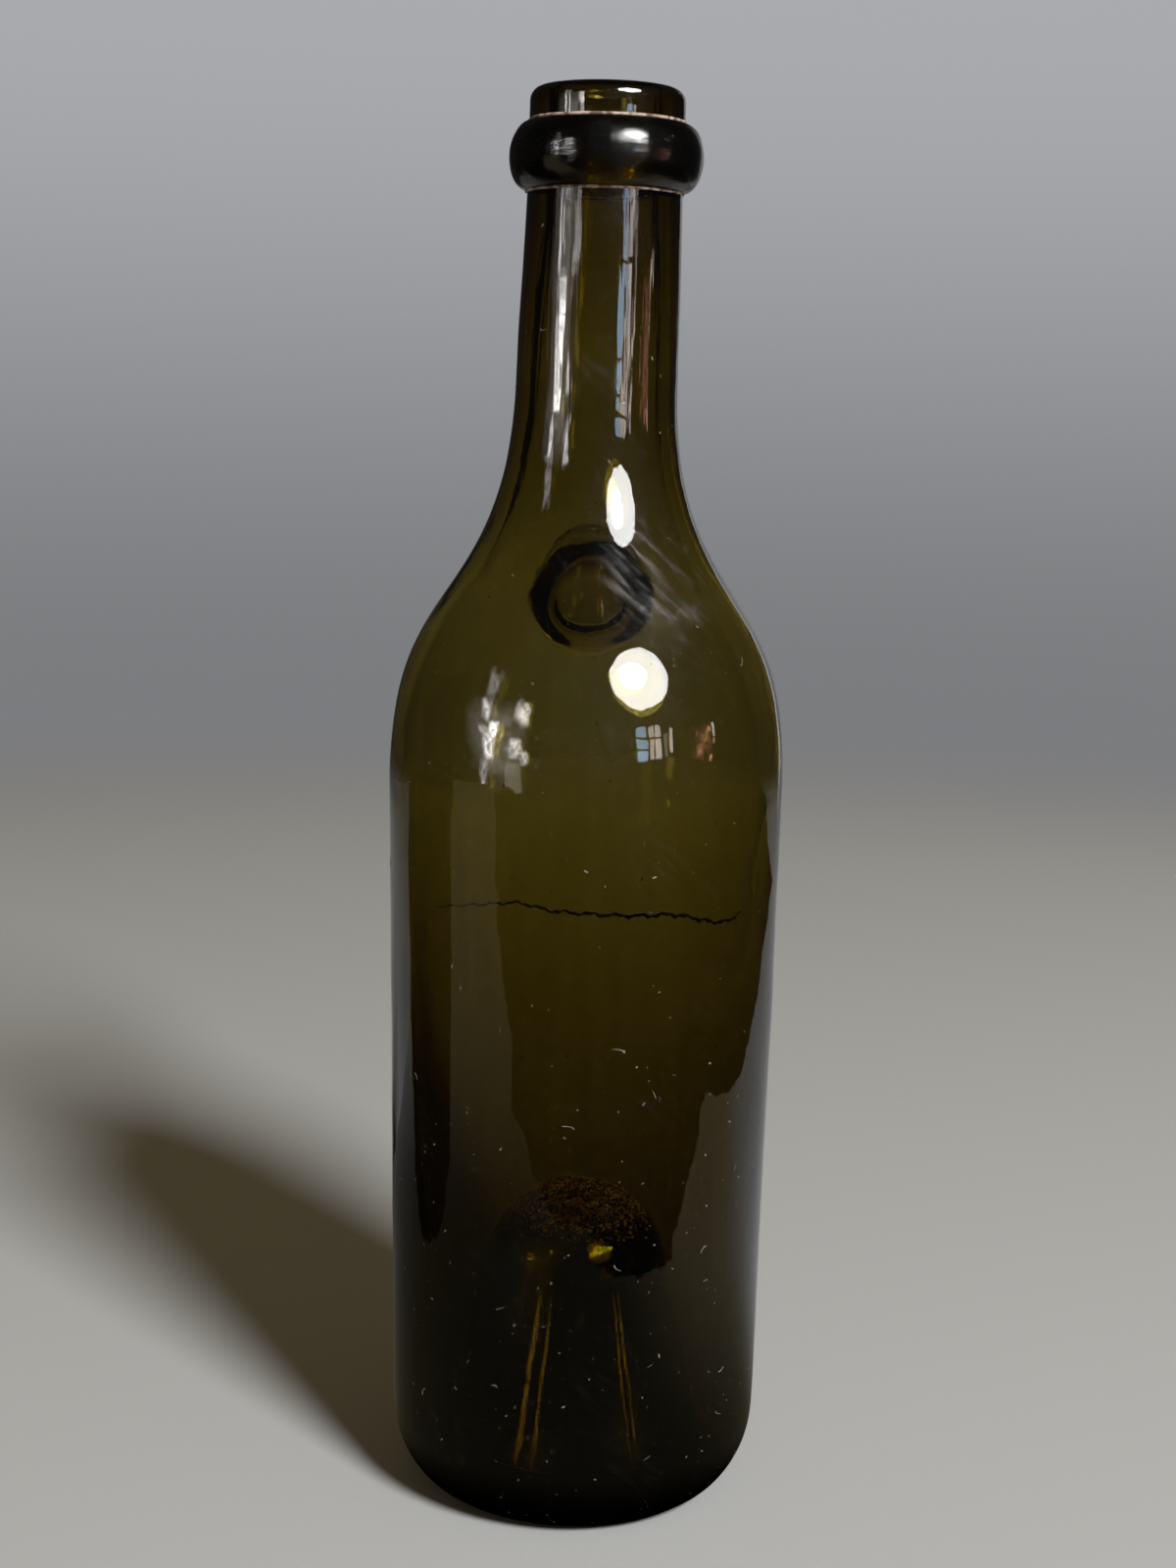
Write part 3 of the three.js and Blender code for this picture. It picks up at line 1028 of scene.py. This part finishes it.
def makeShadedFloor(values):
    material, tree, output = newMaterial("shadedFloor")
    place = objectPlace(tree)
    apart = separate(tree, place)
    length = distanceFrom(tree, place)
    farOut = times(tree, smoothMask(tree, length, *values["farOut"]), values["farShare"])
    share = maths(tree, "MAXIMUM", smoothMask(tree, apart["X"], *values["toRight"]), farOut)
    strength = timesPlus(tree, share, values["bright"] - values["near"], values["near"])
    # Painted contact shade: the mirrored floor goes dark close to the foot
    offFoot = smoothMask(tree, length, *values["offFoot"])
    toBack = smoothMask(tree, apart["Y"], *values["toBack"])
    colour = mixColour(tree, toBack, values["nearColour"], values["farColour"])
    glow = addGlow(tree, colour, times(tree, strength, offFoot))
    leftward = times(tree, maths(tree, "MINIMUM", apart["X"], 0), values["leftward"])
    inFront = smoothMask(tree, maths(tree, "ADD", apart["Y"], leftward), *values["inFront"])
    reflectionShader(tree, output, glow, where=inFront)
    corners = fourCorners(values["half"], values["backEdge"], values["level"])
    mirroredCard("shaded_floor", corners, material)


makeShadedFloor(shade)
for side, corners in shadeOutlines.items():
    outline = [(x, y, shadeEdges["level"]) for x, y in ragged(corners, shadeEdges)]
    mirroredCard("dark_floor_" + side, outline, floorShadeMaterial)

lampTarget = Vector((0, 0, 0.19))


def wayTo(turn, rise):
    turn, rise = math.radians(turn), math.radians(rise)
    return Vector((math.sin(turn) * math.cos(rise), -math.cos(turn) * math.cos(rise), math.sin(rise)))


# Glowing panes: the object's own colour and alpha carry the light's colour and strength
paneKinds = dict(
    clear=dict(edge=0.12, torn=0.0, square=9.0), torn=dict(edge=0.7, torn=1.3, square=4.0),
    deep=dict(edge=0.5, torn=0.6, square=4.0, fewest=4), sharp=dict(edge=0.3, torn=0.2, square=2.0, fewest=4),
)
paneBase = dict(margin=1.25, warp=dict(scale=1.3, detail=3.0), patches=dict(scale=2.6, edges=(0.3, 0.65)))


def makePaneMaterial(name, edge, torn, square, fewest=0):
    material, tree, output = newMaterial(name)
    place = objectPlace(tree)
    given = addNode(tree, "ShaderNodeObjectInfo").outputs
    shifted = vectorMaths(tree, "ADD", place, given["Location"])
    warp = noiseField(tree, shifted, **paneBase["warp"])
    apart = separate(tree, place)
    powers = [maths(tree, "POWER", maths(tree, "ABSOLUTE", apart[axis]), square) for axis in ("X", "Y")]
    reach = maths(tree, "POWER", maths(tree, "ADD", *powers), 1 / square)
    reach = timesPlus(tree, maths(tree, "SUBTRACT", warp, 0.5), torn, reach)
    shape = smoothMask(tree, reach, 1.0, 1.0 - edge)
    patchy = noiseMask(tree, shifted, **paneBase["patches"])
    shape = times(tree, shape, timesPlus(tree, patchy, torn, 1.0 - 0.5 * torn))
    glow = addGlow(tree, given["Color"], times(tree, shape, given["Alpha"]))
    both = addNode(tree, "ShaderNodeAddShader")
    feedInOrder(tree, both.inputs, (glow, addClear(tree)))
    reflectionShader(tree, output, both.outputs[0], fewest)
    return material


def makePane(name, target, distance, turn, rise, halfTurn, halfRise, colour, glow, material):
    way = wayTo(turn, rise)
    across = wayTo(turn + 90, 0)
    up = way.cross(across)
    pane = mirroredCard(name, fourCorners(paneBase["margin"], paneBase["margin"]), material)
    halfWidth = distance * math.tan(math.radians(halfTurn)) * math.cos(math.radians(rise))
    halfHeight = distance * math.tan(math.radians(halfRise))
    frameTurn = Matrix((across * halfWidth, -up * halfHeight, -way)).transposed().to_4x4()
    pane.matrix_world = Matrix.Translation(target + way * distance) @ frameTurn
    pane.color = (*colour, glow)


# Windows as the glass mirrors them: turn and rise in degrees, half width, half height, glow
panes = dict(
    left_window=dict(kind="torn", colour=(1, 0.97, 0.96), parts=[
        (-62, 13.5, 4, 4.5, 9), (-55, 7.5, 3.6, 3, 22), (-57, 2.5, 5, 4, 15), (-38.5, 15, 5, 5.5, 10),
        (-41, 3, 4.5, 3.2, 9), (-35.5, 0.5, 3, 2, 8), (-59, -8.5, 2.2, 2, 9),
        (-53.5, 6, 20, 13, 1.4), (-59, -4, 4, 5, 4), (-61, 6.3, 4.5, 2, 5), (-61, 24, 5, 8, 3),
    ]),
    left_strips=dict(kind="clear", colour=(1, 0.95, 0.82), parts=[
        (-60, -11, 4.5, 3.5, 1.5), (-41, -7, 4.5, 6.5, 1.4), (-76, -14.2, 3, 1.6, 1.3),
        (-69.5, -14.4, 2.2, 1.9, 1.2),
    ]),
    right_blue=dict(kind="clear", colour=(0.5, 0.72, 1), parts=[
        (31.7, 10.5, 3, 1.6, 6), (31.7, 6.9, 3, 1.5, 6.5), (31.7, 3.1, 3, 1.8, 8),
    ]),
    right_cream=dict(kind="clear", colour=(1, 0.86, 0.8), parts=[
        (37.4, 10.4, 1.6, 1.6, 5.5), (41.3, 10.4, 1.7, 1.6, 6.5), (37.4, 5, 1.6, 3.6, 6),
        (41.3, 5, 1.7, 3.6, 7.5), (49.3, 7, 0.9, 3.8, 7), (46, 6, 1.4, 4, 1.5), (76.5, 6.5, 1, 2.2, 7),
    ]),
    right_red=dict(kind="torn", colour=(1, 0.4, 0.24), parts=[
        (70.5, 4, 6.5, 5, 1.4), (67.3, 1.8, 2, 2, 3.2), (74, 7, 1.6, 1.2, 6), (76.5, 3.2, 1.5, 1.2, 6),
        (74.5, -0.8, 1.6, 1, 7), (66, 6, 1.5, 1.5, 2),
    ]),
    right_back=dict(kind="clear", colour=(1, 1, 1), parts=[(153, 9, 2.5, 23, 0.5)]),
    # Painted reflections in the punt: the amber streaks and the lamp's glint, glowing only after four passes
    # through glass
    punt_far=dict(kind="deep", colour=(1, 1.1, 5), target=(0, 0, 0.03), parts=[
        (-36, 33, 2.5, 4, 700), (-60, 20, 3.5, 3.5, 900),
    ]),
    punt_near=dict(kind="deep", colour=(1, 1.1, 5), target=(0, 0, 0.027), distance=0.0425, parts=[
        (-30.5, 0, 1.9, 31.5, 85), (-21.4, 0, 1.5, 31.5, 50), (33.3, 0, 1.1, 31.5, 48),
        (38.1, 0, 1.2, 31.5, 48),
    ]),
    punt_lamp=dict(kind="sharp", colour=(0.5, 0.85, 0.9), target=(0, 0, 0.052), distance=0.6, parts=[
        (38, 35, 20, 4, 60000),
    ]),
)
paneDistance = 1.4
paneMaterials = {kind: makePaneMaterial(kind + "Pane", **look) for kind, look in paneKinds.items()}
for name, group in panes.items():
    target = Vector(group.get("target", lampTarget))
    distance = group.get("distance", paneDistance)
    material = paneMaterials[group["kind"]]
    for index, (*spread, glow) in enumerate(group["parts"]):
        makePane(name + "_" + str(index), target, distance, *spread, group["colour"], glow, material)

# The lamp lights the floor from a little further left than where the glass mirrors its shade
softbox = dict(turn=31, rise=34, distance=2.6, core=7, coreGlow=105)
lampShade = dict(turn=36, rise=32.8, distance=2.65, corners=48, colour=(1, 1, 0.98), parts=dict(
    halo=dict(spread=16.5, flat=0.85, nearer=0, glow=17, most=4),
    core=dict(spread=3.2, flat=0.5, nearer=0.02, glow=1200, most=allDepths),
))


def makeLamp(values):
    way = wayTo(values["turn"], values["rise"])
    data = bpy.data.lights.new("softbox", "AREA")
    data.shape = "ELLIPSE"
    data.size = 2 * values["distance"] * math.tan(math.radians(values["core"]))
    data.size_y = data.size
    data.energy = values["coreGlow"] * math.pi * quarter / 2 * data.size ** 2
    lamp = addPiece("softbox", data)
    lamp.location = lampTarget + way * values["distance"]
    lamp.rotation_euler = way.to_track_quat("Z", "Y").to_euler()
    lamp.visible_camera = False


def makeShade(values):
    way = wayTo(values["turn"], values["rise"])
    side = way.cross(Vector((0, 0, 1))).normalized()
    top = side.cross(way).normalized()
    for name, part in values["parts"].items():
        distance = values["distance"] - part["nearer"]
        reach = distance * math.tan(math.radians(part["spread"]))
        rim = ovalPoints((0, 0), reach, reach * part["flat"], 0, 4 * quarter, values["corners"])[:-1]
        corners = [lampTarget + way * distance + side * right + top * up for right, up in rim]
        paint = plainGlow(name + "Glow", values["colour"], part["glow"], part["most"])
        mirroredCard("lamp_" + name, corners, paint)


makeLamp(softbox)
makeShade(lampShade)


def makeWorld(values):
    world = bpy.data.worlds.new("paleRoom")
    bpy.context.scene.world = world
    world.use_nodes = True
    tree = world.node_tree
    direction = separate(tree, addNode(tree, "ShaderNodeTexCoord").outputs["Generated"])
    path = addNode(tree, "ShaderNodeLightPath").outputs
    rise = smoothMask(tree, direction["Z"], *values["wallRise"])
    wall = mixColour(tree, rise, values["wallLow"], values["wallTop"])
    deep = maths(tree, "GREATER_THAN", path["Transmission Depth"], values["deepFrom"])
    turned = timesPlus(tree, direction["X"], values["wallTurn"], direction["Y"])
    turned = timesPlus(tree, deep, values["wallWider"], turned)
    mirrored = mixColour(tree, smoothMask(tree, turned, *values["wallBehind"]), values["dark"], wall)
    reflected = maths(tree, "GREATER_THAN", path["Glossy Depth"], 0.5)
    direct = maths(tree, "MAXIMUM", path["Is Camera Ray"], path["Is Transmission Ray"])
    seen = mixColour(tree, direct, values["fill"], wall)
    feed(tree, tree.nodes["Background"].inputs["Color"], mixColour(tree, reflected, seen, mirrored))


makeWorld(room)
bpy.context.scene.view_settings.view_transform = "Standard"
print("stage lit")
